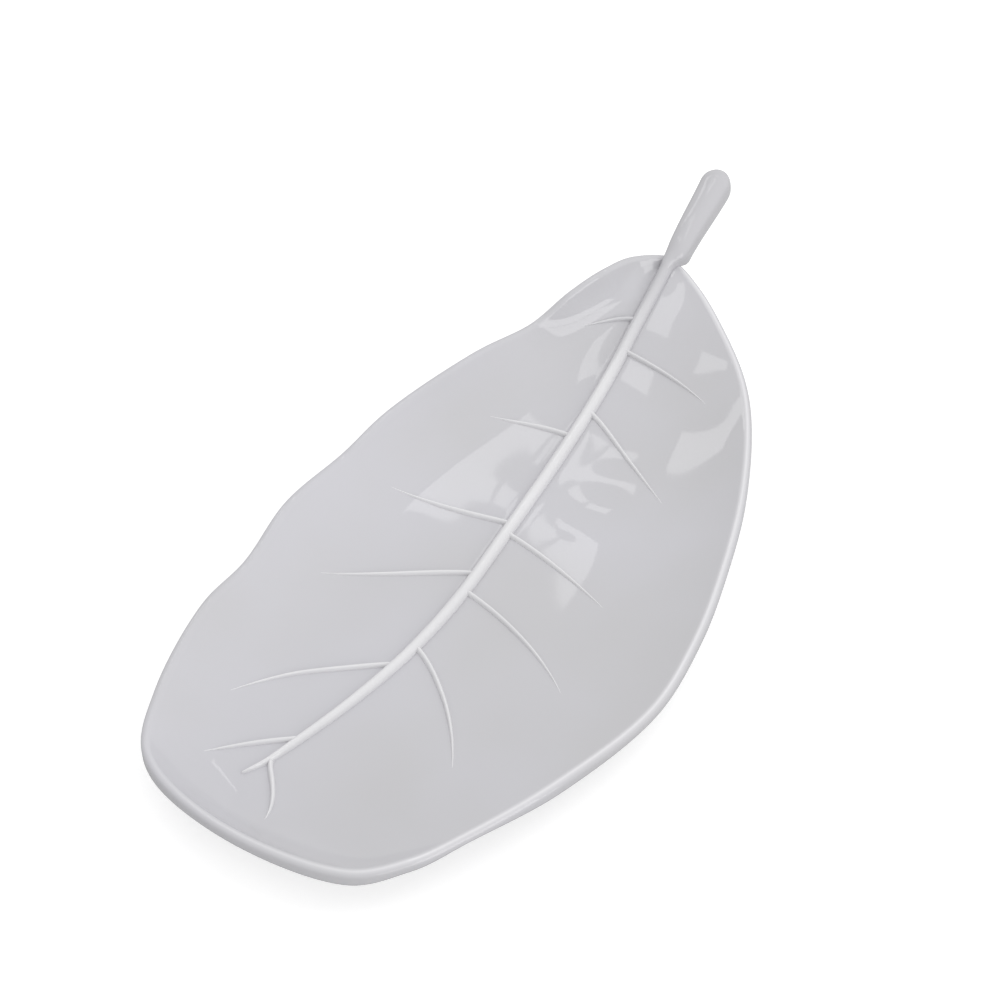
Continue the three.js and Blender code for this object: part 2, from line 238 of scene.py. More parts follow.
class RibSettings(bpy.types.PropertyGroup):
    """Sizes of the stem, the midrib and the side veins"""

    stem_length: FloatProperty(
        name="Stem Length", description="Past the leaf's base", default=0.024, unit="LENGTH")
    stem_rise: FloatProperty(
        name="Stem Rise", description="Climb of the free stem", default=0.0075, unit="LENGTH")
    stem_lean: FloatProperty(
        name="Stem Lean", description="Lean of the free stem to the left", default=math.radians(2.5),
        subtype="ANGLE")
    stem_width: FloatProperty(
        name="Stem Width", description="At the free end", default=0.0076, unit="LENGTH")
    stem_crown: FloatProperty(
        name="Stem Crown", description="Height above the stem's seat line", default=0.0027, unit="LENGTH")
    stem_belly: FloatProperty(
        name="Stem Belly", description="Depth below the stem's seat line", default=0.0046, unit="LENGTH")
    stem_step: FloatProperty(
        name="Stem Step", description="Extra width on the right, where the stem leaves the rim",
        default=0.0018, unit="LENGTH")
    midrib_width: FloatProperty(
        name="Midrib Width", description="Where the midrib is full", default=0.0031, unit="LENGTH")
    midrib_height: FloatProperty(
        name="Midrib Height", description="Above its seat line", default=0.0013, unit="LENGTH")
    midrib_tip: FloatProperty(
        name="Midrib Tip", description="Width left where the midrib runs out", default=0.0005,
        unit="LENGTH")
    vein_width: FloatProperty(
        name="Vein Width", description="Where a vein leaves the midrib", default=0.0013, unit="LENGTH")
    vein_height: FloatProperty(
        name="Vein Height", description="Above its seat line", default=0.0007, unit="LENGTH")
    seat: FloatProperty(
        name="Seat", description="Height of a seat line above the blade", default=0.0003, unit="LENGTH")
    sink: FloatProperty(
        name="Sink", description="How far a rib reaches into the blade", default=0.0004, unit="LENGTH")


class FootSettings(bpy.types.PropertyGroup):
    """Sizes of the feet"""

    radius: FloatProperty(name="Radius", description="Of each foot", default=0.005, unit="LENGTH")
    height: FloatProperty(
        name="Height", description="Least height of the blade's underside", default=0.0022, unit="LENGTH")
    chamfer: FloatProperty(
        name="Chamfer", description="Around a foot's lower edge", default=0.0005, unit="LENGTH")
    tread: FloatProperty(
        name="Tread", description="Width of the ring that a foot stands on", default=0.0016, unit="LENGTH")
    cup_depth: FloatProperty(
        name="Cup Depth", description="Of the shallow cup in a foot's sole", default=0.0004, unit="LENGTH")
    bond: FloatProperty(
        name="Bond", description="How far a foot reaches into the blade", default=0.0001, unit="LENGTH")


class FinishSettings(bpy.types.PropertyGroup):
    """Colours of the plastic and the rubber, with the painted highlights on the edge's crest and the ribs and
    the painted shade on the stem
    """

    plastic: FloatVectorProperty(
        name="Plastic", description="Pale grey of the moulding", default=(0.578, 0.574, 0.605),
        subtype="COLOR", size=3, min=0, max=1)
    plastic_cloud: FloatVectorProperty(
        name="Plastic Cloud", description="Its warmer, darker clouds", default=(0.552, 0.548, 0.566),
        subtype="COLOR", size=3, min=0, max=1)
    # Painted highlight: a paler grey laid on the edge's crest at the blunt end and the right side, where the
    # gloss catches the light
    crest: FloatVectorProperty(
        name="Crest", description="Palest grey, on the edge's crest at the blunt end and the right side",
        default=(0.74, 0.735, 0.755), subtype="COLOR", size=3, min=0, max=1)
    # Painted highlight: the midrib and the veins get a paler grey than the blade, in place of the bright gloss
    # on their crowns
    rib: FloatVectorProperty(
        name="Rib", description="Paler grey of the midrib and the veins", default=(0.76, 0.757, 0.772),
        subtype="COLOR", size=3, min=0, max=1)
    rib_highlight_cloud: FloatVectorProperty(
        name="Rib Cloud", description="Its darker clouds", default=(0.73, 0.727, 0.74),
        subtype="COLOR", size=3, min=0, max=1)
    # Painted shade: the free stem gets a darker grey than the blade's plastic
    stem: FloatVectorProperty(
        name="Stem", description="Darker grey of the free stem", default=(0.53, 0.526, 0.548),
        subtype="COLOR", size=3, min=0, max=1)
    rubber: FloatVectorProperty(
        name="Rubber", description="Grey of the feet", default=(0.46, 0.46, 0.48),
        subtype="COLOR", size=3, min=0, max=1)
    rubber_dust: FloatVectorProperty(
        name="Rubber Dust", description="Paler bloom on the feet", default=(0.54, 0.54, 0.55),
        subtype="COLOR", size=3, min=0, max=1)


class StageSettings(bpy.types.PropertyGroup):
    """Camera, floor and light"""

    azimuth: FloatProperty(
        name="Azimuth", description="Of the camera, from looking along +Y", default=math.radians(32),
        subtype="ANGLE")
    elevation: FloatProperty(
        name="Elevation", description="Of the camera above the table", default=math.radians(50),
        subtype="ANGLE")
    distance: FloatProperty(
        name="Distance", description="From the camera to its target", default=0.6, unit="LENGTH")
    lens: FloatProperty(name="Lens", description="Focal length in millimetres", default=99.0)
    target: FloatVectorProperty(
        name="Target", description="What the camera looks at", default=(-0.01156, 0.00123, 0.008), size=3,
        subtype="XYZ", unit="LENGTH")
    ambient: FloatProperty(
        name="Ambient", description="Strength of the light from all round", default=0.79)
    overhead: FloatProperty(
        name="Overhead", description="Radiance of the panels overhead", default=1.4)
    floor_glow: FloatProperty(
        name="Floor Glow", description="What keeps the floor white to the camera", default=0.6)


def smooth(share):
    """Eases a share from 0 to 1, level at both ends."""
    share = np.clip(share, 0.0, 1.0)
    return share * share * (3.0 - 2.0 * share)


def unit(vectors):
    """Vectors of length 1."""
    return vectors / np.linalg.norm(vectors, axis=-1, keepdims=True)


def facing(back):
    """The turn of a lamp or a camera that looks the opposite way to back."""
    return (-Vector(back)).to_track_quat("-Z", "Y").to_euler()


class SmoothCurve:
    """A centripetal curve through a row of points, read at shares of its spans."""

    def __init__(self, points, closed=False):
        points = np.array(points, float)
        if closed:
            self.knots = np.vstack([points[-1:], points, points[:2]])
        else:
            before = 2 * points[:1] - points[1:2]
            after = 2 * points[-1:] - points[-2:-1]
            self.knots = np.vstack([before, points, after])
        self.closed = closed
        self.spans = len(self.knots) - 3

    def at(self, share):
        """The point at a share of the curve, which goes round where it is closed."""
        share = np.asarray(share, float)
        place = (share % 1.0 if self.closed else np.clip(share, 0, 1)) * self.spans
        span = np.clip(place.astype(int), 0, self.spans - 1)
        part = (place - span)[..., None]
        a, b, c, d = (self.knots[span + step] for step in range(4))
        first, middle, last = (
            np.sqrt(np.linalg.norm(far - near, axis=-1, keepdims=True))
            for near, far in ((a, b), (b, c), (c, d)))
        leave = ((b - a) / first - (c - a) / (first + middle) + (c - b) / middle) * middle
        arrive = ((c - b) / middle - (d - b) / (middle + last) + (d - c) / last) * middle
        bend = -3 * b + 3 * c - 2 * leave - arrive
        twist = 2 * b - 2 * c + leave + arrive
        return b + part * (leave + part * (bend + part * twist))


class Leaf:
    """The leaf's surfaces, in metres.

    A turn is the share of the way round the margin from the stem by the left side. A station is the share of
    the way down the midrib, and a reach the share of the way from the midrib to the rim's crest.
    """

    def __init__(self, scene):
        self.blade = scene.leaf_blade
        self.rib = scene.leaf_rib
        self.lowest = scene.leaf_foot.height + self.blade.wall
        loop = np.array([BASE_POINT, *LEFT_MARGIN, END_POINT, *reversed(RIGHT_MARGIN)])
        self.swells = loop[:, 3]
        margin = self.plan(loop)
        margin[:, 2] = self.blade.rim_height + loop[:, 2] * self.blade.rim_lift
        margin[0, 2] = self.blade.base_height
        self.margin = SmoothCurve(margin, closed=True)
        self.spine = SmoothCurve(self.plan(np.array(SPINE_PLAN)))
        low = np.array(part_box("leaf_dish")[0])
        shift = low - self.margin.at(np.linspace(0, 1, MARGIN_SAMPLES)).min(axis=0)
        shift[2] = 0
        self.margin.knots += shift
        self.spine.knots += shift
        self.base_y = self.margin.at(0.0)[1]

    def plan(self, shares):
        """Level places, from shares of the leaf's width and length."""
        across = shares[:, 0] * self.blade.width
        along = -shares[:, 1] * self.blade.length
        return np.column_stack([across, along, np.zeros(len(shares))])

    @staticmethod
    def station(turn):
        """The station that a turn runs out from."""
        return 1 - np.abs(1 - 2 * (turn % 1.0))

    @staticmethod
    def turn(side, station):
        """The turn that runs out from a station on one side."""
        return station / 2 if side == "left" else 1 - station / 2

    def floor(self, station):
        """Height of the blade beside the midrib."""
        along = (self.base_y - self.spine.at(station)[..., 1]) / self.blade.length
        near_stem = np.clip(1 - (along - SPINE_PLAN[0][1]) / STEM_RAMP_SHARE, 0, None)
        near_end = smooth(1 - (SPINE_PLAN[-1][1] - along) / END_RAMP_SHARE)
        climb = (self.blade.base_height - self.lowest) * near_stem ** STEM_RAMP_POWER
        return self.lowest + climb + self.blade.end_rise * near_end

    def midrib_width(self, station):
        """Width of the midrib, which keeps almost to its end and then runs out."""
        held = (1 - station**MIDRIB_HOLD_POWER) ** MIDRIB_RUN_OUT_POWER
        return self.rib.midrib_tip + (self.rib.midrib_width - self.rib.midrib_tip) * held

    def outward(self, turn):
        """The level way out from the margin."""
        way = self.margin.at(turn + MARGIN_STEP) - self.margin.at(turn - MARGIN_STEP)
        return unit(np.stack([way[..., 1], -way[..., 0], np.zeros(way.shape[:-1])], axis=-1))

    def crest(self, turn):
        """Where the blade's top goes over into its rounded edge."""
        return self.margin.at(turn) - self.outward(turn) * self.blade.edge_round

    def bed(self, turn):
        """The reach that the midrib's bed takes."""
        station = self.station(turn)
        ray = (self.crest(turn) - self.spine.at(station))[..., :2]
        half = self.midrib_width(station) / 2 + self.rib.seat
        return np.minimum(WIDEST_BED_SHARE, half / np.linalg.norm(ray, axis=-1))

    def ripple(self, point, reach):
        """Height of the slow waves and the hollows, which die out towards the rim."""
        across, along = point[..., 0], point[..., 1]
        waves = sum(
            height * np.sin(2 * np.pi * (across * math.cos(way) + along * math.sin(way)) / length + phase)
            for length, way, height, phase in RIPPLES)
        for centre_x, centre_y, radius, tilt_x, tilt_y in HOLLOWS:
            right, back = across - centre_x, along - centre_y
            waves = waves + (tilt_x * right + tilt_y * back) * np.exp(-(right**2 + back**2) / radius**2)
        return waves * (1 - smooth((reach - RIPPLE_FADE_SHARE) / (1 - RIPPLE_FADE_SHARE)))

    def top(self, turn, reach):
        """The blade's upper face, which turns up from the midrib to the rim."""
        station = self.station(turn)
        floor = self.floor(station)
        crest = self.crest(turn)
        bed = self.bed(turn)
        full = smooth(station / SHOULDER_SHARE)
        power = BASE_POWER + (DISH_POWER - BASE_POWER) * full
        out = np.clip(reach - bed, 0, None) / (1 - bed)
        climb = (self.blade.rim_height - floor) * out**power
        wave = (crest[..., 2] - self.blade.rim_height) * out ** (power * (1 + full))
        spine = self.spine.at(station)
        point = spine + (crest - spine) * reach[..., None]
        point[..., 2] = floor + climb + wave + self.ripple(point, reach)
        return point

    def normal(self, turn, reach):
        """Which way the upper face looks."""
        around = self.top(turn + SLOPE_STEP, reach) - self.top(turn - SLOPE_STEP, reach)
        out = self.top(turn, reach + SLOPE_STEP) - self.top(turn, reach - SLOPE_STEP)
        return unit(np.cross(out, around))

    def depth(self, turn, reach):
        """Thickness of the blade, straight down."""
        place = (turn % 1.0) * len(self.swells)
        first = place.astype(int) % len(self.swells)
        ease = smooth(place - np.floor(place))
        swell = self.swells[first] * (1 - ease) + self.swells[(first + 1) % len(self.swells)] * ease
        edge = self.blade.edge_depth + swell * self.blade.edge_swell
        thicken = smooth((reach - EDGE_START_SHARE) / (1 - EDGE_START_SHARE))
        return self.blade.wall + (edge - self.blade.wall) * thicken

    def underside(self, turn, reach):
        """The blade's lower face."""
        return self.top(turn, reach) - self.depth(turn, reach)[..., None] * UP

    def edge(self, turn, share):
        """The rounded edge, from the crest over its outer face to the underside."""
        full = np.ones_like(turn)
        crest = self.top(turn, full)
        inner = self.top(turn, full - SLOPE_STEP)
        slope = np.arctan2(crest[:, 2] - inner[:, 2], np.linalg.norm((crest - inner)[:, :2], axis=1))
        depth = self.depth(turn, full)
        bead = self.blade.edge_round / (1 + np.sin(slope))
        lip = np.minimum(np.minimum(self.blade.edge_round, depth / 2), depth - bead * np.cos(slope))
        over = np.clip(share / BEAD_SHARE, 0, 1) * (np.pi / 2 + slope) - slope
        turned_in = np.clip((share - LIP_SHARE) / (1 - LIP_SHARE), 0, 1)
        under = turned_in * np.pi / 2
        down = np.clip((share - BEAD_SHARE) / (LIP_SHARE - BEAD_SHARE), 0, 1)
        out = bead * (np.sin(over) + np.sin(slope)) - lip * (1 - np.cos(under))
        bead_drop = bead * (np.cos(slope) - np.cos(over))
        wall_drop = depth - bead * np.cos(slope) - lip
        drop = bead_drop + wall_drop * down + lip * np.sin(under)
        tuck = (self.blade.edge_round - lip) * turned_in
        return crest + self.outward(turn) * (out - tuck)[:, None] - drop[:, None] * UP

    def shell(self, turn, row):
        """The whole blade: out along the top, over the edge and back underneath."""
        points = np.zeros((len(turn), 3))
        station = self.station(turn)
        width = self.midrib_width(station)
        ray = np.linalg.norm((self.crest(turn) - self.spine.at(station))[..., :2], axis=-1)
        on_top = row <= TOP_ROWS
        on_edge = (row > TOP_ROWS) & (row < TOP_ROWS + EDGE_ROWS)
        below = row >= TOP_ROWS + EDGE_ROWS
        lip = np.minimum(WIDEST_BED_SHARE, (width / 2 + GROOVE_ROWS[-1][0]) / ray)
        share = np.clip((row - len(GROOVE_ROWS)) / (TOP_ROWS - len(GROOVE_ROWS)), 0, 1)
        reach = np.where(row == 0, 0, lip + (1 - lip) * (1 - (1 - share) ** ROW_EASE))
        sunk = np.zeros(len(turn))
        for number, (past, deep) in enumerate(GROOVE_ROWS, 1):
            here = row == number
            reach = np.where(here, np.minimum(lip, (width / 2 + past) / ray), reach)
            sunk = np.where(here, deep * width / self.rib.midrib_width, sunk)
        points[on_top] = self.top(turn[on_top], reach[on_top]) - sunk[on_top, None] * UP
        points[on_edge] = self.edge(turn[on_edge], (row[on_edge] - TOP_ROWS) / EDGE_ROWS)
        back = (TOP_ROWS + EDGE_ROWS + UNDER_ROWS - row) / UNDER_ROWS
        points[below] = self.underside(turn[below], (1 - (1 - back) ** ROW_EASE)[below])
        return points


def clear_selection():
    """Leaves nothing selected, so that the next operator acts on the new piece alone."""
    if bpy.context.object and bpy.context.object.mode != "OBJECT":
        bpy.ops.object.mode_set(mode="OBJECT")
    bpy.ops.object.select_all(action="DESELECT")


def read_points(piece):
    """The corners of a piece's mesh, one a row."""
    points = np.empty(len(piece.data.vertices) * 3)
    piece.data.vertices.foreach_get("co", points)
    return points.reshape(-1, 3)


def write_points(piece, points):
    """Moves the corners of a piece's mesh."""
    piece.data.vertices.foreach_set("co", np.ascontiguousarray(points).ravel())
    piece.data.update()


def close_mesh(piece):
    """Welds the seams and turns every face outwards."""
    bpy.ops.object.mode_set(mode="EDIT")
    bpy.ops.mesh.select_all(action="SELECT")
    bpy.ops.mesh.remove_doubles(threshold=WELD_DISTANCE)
    bpy.ops.mesh.dissolve_degenerate(threshold=LEAST_EDGE)
    bpy.ops.mesh.normals_make_consistent(inside=False)
    bpy.ops.object.mode_set(mode="OBJECT")


def smooth_over(piece):
    """Rounds a piece with an applied subdivision."""
    modifier = piece.modifiers.new("rounding", "SUBSURF")
    modifier.levels = ROUNDING_LEVELS
    modifier.render_levels = ROUNDING_LEVELS
    bpy.ops.object.modifier_apply(modifier=modifier.name)


def seat_piece(piece, node, material):
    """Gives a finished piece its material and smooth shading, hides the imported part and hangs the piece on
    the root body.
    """
    piece.data.materials.clear()
    piece.data.materials.append(material)
    bpy.ops.object.shade_smooth_by_angle(angle=SMOOTH_ANGLE)
    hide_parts(node)
    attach(piece, "root")


def lay_rod(name, rings):
    """A closed rod through a row of rings, from a cylinder that is cut along its length."""
    stops, sides = rings.shape[:2]
    clear_selection()
    bpy.ops.mesh.primitive_cylinder_add(vertices=sides, radius=1, depth=1, end_fill_type="TRIFAN")
    piece = bpy.context.object
    piece.name = piece.data.name = name
    bpy.ops.object.mode_set(mode="EDIT")
    bpy.ops.mesh.select_mode(type="EDGE")
    bpy.ops.mesh.select_all(action="DESELECT")
    edit = bmesh.from_edit_mesh(piece.data)
    for edge in edit.edges:
        edge.select_set(abs(edge.verts[0].co.z - edge.verts[1].co.z) > 0.5)
    bmesh.update_edit_mesh(piece.data)
    bpy.ops.mesh.subdivide(number_cuts=stops - 2)
    bpy.ops.object.mode_set(mode="OBJECT")
    flat = read_points(piece)
    row = np.rint((flat[:, 2] + 0.5) * (stops - 1)).astype(int)
    column = np.rint(np.arctan2(flat[:, 1], flat[:, 0]) / (2 * np.pi) * sides).astype(int) % sides
    points = rings[row, column]
    middle = np.hypot(flat[:, 0], flat[:, 1]) < 0.5
    points[middle] = rings.mean(axis=1)[row[middle]]
    write_points(piece, points)
    return piece


def rib_ring(seat, along, normal, width, crown, belly, sides):
    """A section of a rib: a round crown above the seat line and a squarer belly below it."""
    across = np.cross(normal, along)
    across /= np.linalg.norm(across)
    angle = np.arange(sides) / sides * 2 * np.pi
    cosine, sine = np.cos(angle), np.sin(angle)
    power = np.where((sine < 0) & (belly > 0), BELLY_POWER, 1.0)
    rise = np.sign(sine) * np.abs(sine) ** power * np.where(sine > 0, crown, belly)
    out = np.sign(cosine) * np.abs(cosine) ** power * width / 2
    return seat + out[:, None] * across + rise[:, None] * normal


def stem_rings(leaf):
    """The sections of the midrib and stem, from the midrib's tip to the stem's free end."""
    rib = leaf.rib
    stops = []
    for station in np.linspace(1, 0, SPINE_STOPS):
        width = float(leaf.midrib_width(station))
        crown = rib.midrib_height * width / rib.midrib_width + rib.seat + rib.sink
        seat = leaf.top(np.array(station / 2), np.array(0.0)) - UP * rib.sink
        stops.append((seat, width, crown, 0.0))
    start = stops[-1][0]
    step = start - stops[-2][0]
    start_slope = step[2] / np.hypot(step[0], step[1])
    heading = np.array([-math.sin(rib.stem_lean), math.cos(rib.stem_lean), 0.0])
    edge_out = float(np.linalg.norm(leaf.margin.at(0.0) - start - UP * rib.sink))
    length = edge_out + rib.stem_length - END_CLEAR
    end_round = rib.stem_width / 2
    outs = length * np.sin(np.linspace(0, np.pi / 2, STEM_STOPS + 1)[1:])
    for out in outs:
        share = out / length
        climb = start_slope * out * (1 - share) ** 2 + rib.stem_rise * share**STEM_CLIMB_POWER
        rounding = max(0.0, (out - (length - end_round)) / end_round)
        shrink = math.sqrt(1 - (STEM_TIP_SHARE * rounding) ** 2)
        lift = rib.sink + rib.seat
        free = float(smooth(out / edge_out))
        width = (rib.midrib_width + (rib.stem_width - rib.midrib_width) * share) * shrink
        crown = (rib.midrib_height + (rib.stem_crown - rib.midrib_height) * math.sqrt(share)) * shrink
        belly = rib.stem_belly * float(smooth((out - edge_out + ROOT_LENGTH) / ROOT_LENGTH)) * shrink
        step_out = rib.stem_step * float(smooth((out - edge_out + STEP_LENGTH) / STEP_LENGTH)) * (1 - share)
        aside = np.array([heading[1], -heading[0], 0.0]) * step_out / 2
        seat = start + heading * out + aside + UP * (climb + lift * free)
        stops.append((seat, width + step_out, crown + lift * (1 - free), belly))
    seats = np.array([stop[0] for stop in stops])
    rings = []
    for i, (seat, width, crown, belly) in enumerate(stops):
        along = unit(seats[min(i + 1, len(seats) - 1)] - seats[max(i - 1, 0)])
        upright = unit(UP - along * along[2])
        rings.append(rib_ring(seat, along, upright, width, crown, belly, STEM_SIDES))
    return np.array(rings)


def vein_rings(leaf, side, vein):
    """The sections of one side vein, from inside the midrib to where it runs out."""
    root, end, reach, bow = vein
    rib = leaf.rib
    share = np.linspace(0, 1, VEIN_STOPS)
    start = VEIN_ROOT_SHARE * leaf.bed(np.array(leaf.turn(side, root)))
    turns = np.array([leaf.turn(side, root + (end - root) * part**bow) for part in share])
    reaches = start + (reach - start) * share
    normals = leaf.normal(turns, reaches)
    seats = leaf.top(turns, reaches) - normals * rib.sink
    ways = unit(np.gradient(seats, axis=0))
    taper = 1 - share**VEIN_HOLD_POWER
    rings = []
    for seat, way, normal, left in zip(seats, ways, normals, taper):
        width = rib.vein_width * (VEIN_TIP_SHARE + (1 - VEIN_TIP_SHARE) * left)
        crown = rib.sink + (rib.seat + rib.vein_height) * left
        rings.append(rib_ring(seat, way, normal, width, crown, 0.0, VEIN_SIDES))
    return np.array(rings)


class NodeSheet:
    """Adds nodes to a tree and links them."""

    def __init__(self, tree):
        self.tree = tree

    def add(self, kind, **values):
        """A new node with some of its settings."""
        node = self.tree.nodes.new(kind)
        for name, value in values.items():
            setattr(node, name, value)
        return node

    def link(self, source, target):
        """Runs a link from an output to an input."""
        self.tree.links.new(source, target)

    def map_range(self, source, span, result=(0.0, 1.0)):
        """Maps a span of a value to another, and holds it at their ends."""
        node = self.add("ShaderNodeMapRange")
        for name, value in zip(("From Min", "From Max", "To Min", "To Max"), (*span, *result)):
            node.inputs[name].default_value = value
        self.link(source, node.inputs["Value"])
        return node.outputs["Result"]


def mottle_group():
    """Slow clouds and fine grain that moulded plastic and rubber share."""
    name = "moulding_mottle"
    if name in bpy.data.node_groups:
        return bpy.data.node_groups[name]
    group = bpy.data.node_groups.new(name, "ShaderNodeTree")
    sheet = NodeSheet(group)
    for socket in ("Cloud Scale", "Grain Scale"):
        group.interface.new_socket(socket, in_out="INPUT", socket_type="NodeSocketFloat")
    for socket in ("Cloud", "Grain"):
        group.interface.new_socket(socket, in_out="OUTPUT", socket_type="NodeSocketFloat")
    entry = sheet.add("NodeGroupInput")
    leave = sheet.add("NodeGroupOutput")
    place = sheet.add("ShaderNodeTexCoord")
    cloud = sheet.add("ShaderNodeTexNoise")
    cloud.inputs["Detail"].default_value = CLOUD_DETAIL
    cloud.inputs["Roughness"].default_value = CLOUD_ROUGHNESS
    grain = sheet.add("ShaderNodeTexNoise")
    grain.inputs["Detail"].default_value = GRAIN_DETAIL
    sheet.link(place.outputs["Object"], cloud.inputs["Vector"])
    sheet.link(place.outputs["Object"], grain.inputs["Vector"])
    sheet.link(entry.outputs["Cloud Scale"], cloud.inputs["Scale"])
    sheet.link(entry.outputs["Grain Scale"], grain.inputs["Scale"])
    sheet.link(cloud.outputs["Fac"], leave.inputs["Cloud"])
    sheet.link(grain.outputs["Fac"], leave.inputs["Grain"])
    return group


def moulded_material(name, tones, roughness, scales, bump):
    """A moulded finish whose colour and gloss drift slowly, with a fine grain in its surface."""
    if name in bpy.data.materials:
        return bpy.data.materials[name]
    material = bpy.data.materials.new(name)
    material.use_nodes = True
    sheet = NodeSheet(material.node_tree)
    shader = material.node_tree.nodes["Principled BSDF"]
    mottle = sheet.add("ShaderNodeGroup", node_tree=mottle_group())
    mottle.inputs["Cloud Scale"].default_value = scales[0]
    mottle.inputs["Grain Scale"].default_value = scales[1]
    tone = sheet.add("ShaderNodeMix", data_type="RGBA")
    tone.inputs["A"].default_value = (*tones[0], 1.0)
    tone.inputs["B"].default_value = (*tones[1], 1.0)
    relief = sheet.add("ShaderNodeBump")
    relief.inputs["Strength"].default_value = bump
    relief.inputs["Distance"].default_value = GRAIN_DEPTH
    cloud = mottle.outputs["Cloud"]
    sheet.link(sheet.map_range(cloud, CLOUD_SPAN), tone.inputs["Factor"])
    sheet.link(tone.outputs["Result"], shader.inputs["Base Color"])
    sheet.link(sheet.map_range(cloud, CLOUD_SPAN, roughness), shader.inputs["Roughness"])
    sheet.link(mottle.outputs["Grain"], relief.inputs["Height"])
    sheet.link(relief.outputs["Normal"], shader.inputs["Normal"])
    return material


def tint(material, mask, tone):
    """Lays a tone over a material's colour, as far as a mask says."""
    sheet = NodeSheet(material.node_tree)
    colour = material.node_tree.nodes["Principled BSDF"].inputs["Base Color"]
    mix = sheet.add("ShaderNodeMix", data_type="RGBA")
    mix.inputs["B"].default_value = (*tone, 1.0)
    sheet.link(colour.links[0].from_socket, mix.inputs["A"])
    sheet.link(mask, mix.inputs["Factor"])
    sheet.link(mix.outputs["Result"], colour)


def blade_plastic(scene):
    """The blade's finish, with a painted highlight: paler on the edge's crest at the blunt end and the right
    side.
    """
    finish = scene.leaf_finish
    tones = (tuple(finish.plastic), tuple(finish.plastic_cloud))
    material = moulded_material("glossy_plastic", tones, *PLASTIC_FINISH)
    # The painted highlight on the edge's crest
    rim = NodeSheet(material.node_tree).add("ShaderNodeAttribute", attribute_name=CREST_HIGHLIGHT_MASK)
    tint(material, rim.outputs["Fac"], finish.crest)
    return material


def rib_plastic_painted_light(scene):
    """The ribs' finish: a paler tone as painted highlight, which goes over to a darker tone along the stem as
    painted shade.
    """
    if "rib_plastic_painted_light" in bpy.data.materials:
        return bpy.data.materials["rib_plastic_painted_light"]
    finish = scene.leaf_finish
    tones = (tuple(finish.rib), tuple(finish.rib_highlight_cloud))
    material = moulded_material("rib_plastic_painted_light", tones, *PLASTIC_FINISH)
    sheet = NodeSheet(material.node_tree)
    place = sheet.add("ShaderNodeTexCoord")
    split = sheet.add("ShaderNodeSeparateXYZ")
    sheet.link(place.outputs["Object"], split.inputs["Vector"])
    # Painted shade along the stem, over the ribs' painted highlight
    tint(material, sheet.map_range(split.outputs["Y"], STEM_SHADE_SPAN), finish.stem)
    return material


def foot_rubber(scene):
    """The feet's dull rubber, with a paler bloom."""
    finish = scene.leaf_finish
    tones = (tuple(finish.rubber), tuple(finish.rubber_dust))
    return moulded_material("pad_rubber", tones, *RUBBER_FINISH)


class LEAFDISH_OT_add_blade(bpy.types.Operator):
    """Model the dished blade with its rounded, wavy edge"""

    bl_idname = "leafdish.add_blade"
    bl_label = "Add Blade"

    def execute(self, context):
        leaf = Leaf(context.scene)
        rows = TOP_ROWS + EDGE_ROWS + UNDER_ROWS
        clear_selection()
        bpy.ops.mesh.primitive_grid_add(x_subdivisions=TURN_STEPS, y_subdivisions=rows, size=1)
        piece = context.object
        piece.name = piece.data.name = "blade"
        flat = read_points(piece)
        turn = flat[:, 0] + 0.5
        row = np.rint((flat[:, 1] + 0.5) * rows)
        write_points(piece, leaf.shell(turn, row))
        # Mark for the painted highlight on the edge's crest, which comes in round the blunt end to the right
        # side
        crest = np.exp(-(((row - TOP_ROWS - CREST_ROW) / HIGHLIGHT_SPREAD) ** 2))
        crest *= smooth((turn - HIGHLIGHT_SPAN[0]) / (HIGHLIGHT_SPAN[1] - HIGHLIGHT_SPAN[0]))
        piece.data.attributes.new(CREST_HIGHLIGHT_MASK, "FLOAT", "POINT").data.foreach_set("value", crest)
        close_mesh(piece)
        smooth_over(piece)
        seat_piece(piece, "leaf_dish", blade_plastic(context.scene))
        return {"FINISHED"}


class LEAFDISH_OT_add_stem(bpy.types.Operator):
    """Model the midrib that runs on as the stem"""

    bl_idname = "leafdish.add_stem"
    bl_label = "Add Stem"

    def execute(self, context):
        piece = lay_rod("stem_and_midrib", stem_rings(Leaf(context.scene)))
        close_mesh(piece)
        smooth_over(piece)
        seat_piece(piece, "stem_midrib", rib_plastic_painted_light(context.scene))
        return {"FINISHED"}


class LEAFDISH_OT_add_veins(bpy.types.Operator):
    """Model the side veins"""

    bl_idname = "leafdish.add_veins"
    bl_label = "Add Veins"

    def execute(self, context):
        leaf = Leaf(context.scene)
        material = rib_plastic_painted_light(context.scene)
        for side, veins in VEIN_PLAN.items():
            for number, vein in enumerate(veins, 1):
                piece = lay_rod(f"side_vein_{side}_{number}", vein_rings(leaf, side, vein))
                close_mesh(piece)
                smooth_over(piece)
                seat_piece(piece, f"vein_{side}_{number}", material)
        return {"FINISHED"}


